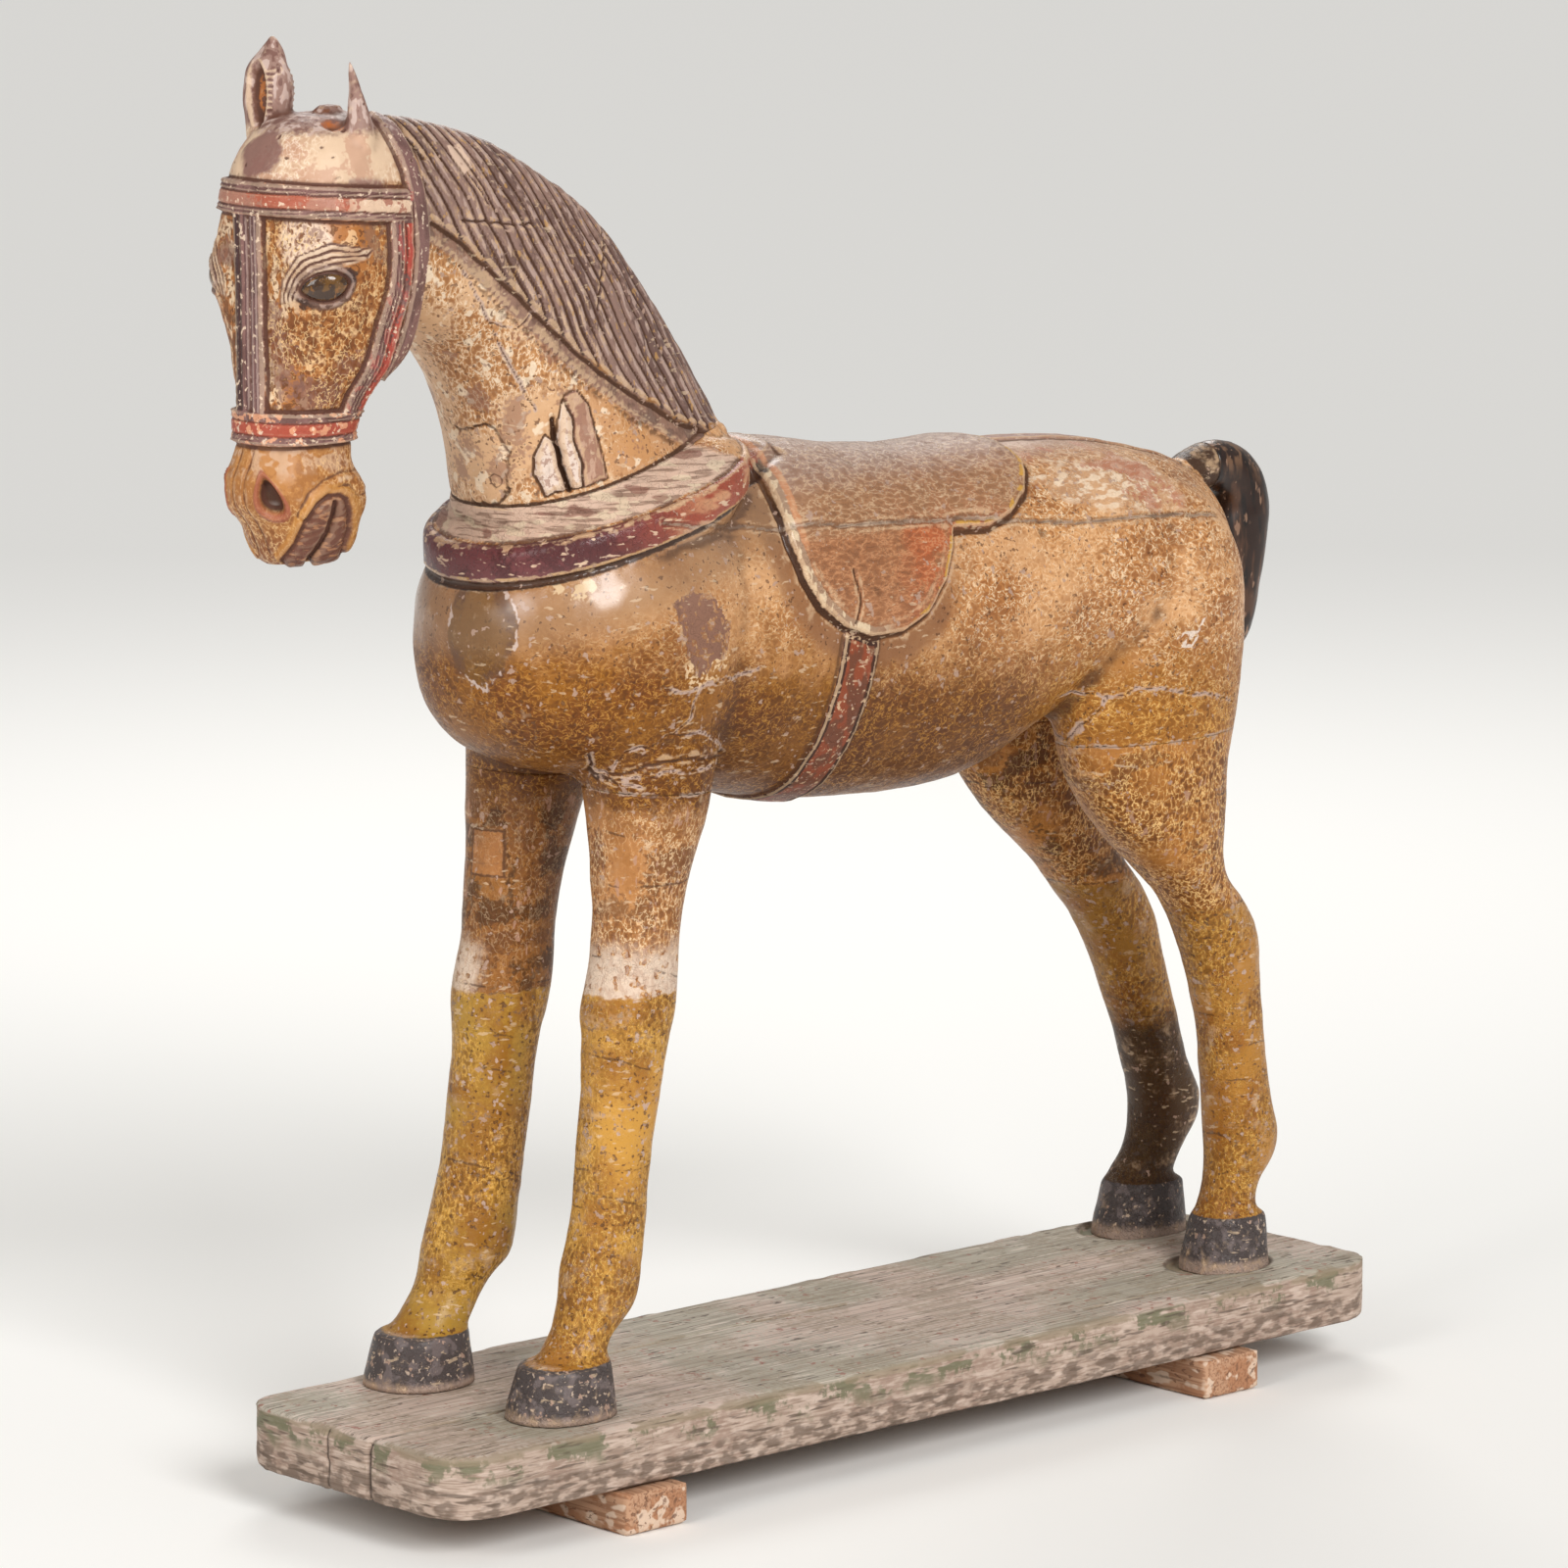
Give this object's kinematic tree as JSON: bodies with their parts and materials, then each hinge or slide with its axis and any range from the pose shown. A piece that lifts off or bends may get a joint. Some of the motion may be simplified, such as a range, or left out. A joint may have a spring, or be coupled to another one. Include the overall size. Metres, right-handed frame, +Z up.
{
  "type": "carved wooden horse",
  "caption": "Standing carved and painted wooden horse with bridle, fluted mane, collar, saddle cloth and girth, fixed on a thick plank with rough battens below.",
  "frame": {"origin": "on the floor, under the middle of the whole object", "axes": "+Z up, -X the way the horse looks, -Y towards its left side"},
  "size_m": [1.3506, 0.354, 1.3935],
  "materials": {
    "head_paint": "worn cream and tan paint with red and mauve straps over carved wood",
    "neck_paint": "worn cream and ochre paint, grey-brown mane",
    "trunk_paint": "aged brown-ochre varnished paint with fine cracks",
    "leg_paint": "aged ochre and mustard paint, black hooves",
    "tail_paint": "aged dark brown paint",
    "board_wood": "weathered bare wood with traces of green paint",
    "batten_wood": "rough sawn bare wood"
  },
  "bodies": {
    "root": {"head": "head_paint", "neck": "neck_paint", "trunk": "trunk_paint", "leg_front_left": "leg_paint", "leg_front_right": "leg_paint", "leg_rear_left": "leg_paint", "leg_rear_right": "leg_paint", "tail": "tail_paint", "base_board": "board_wood", "batten_front": "batten_wood", "batten_rear": "batten_wood"}
  },
  "joints": []
}
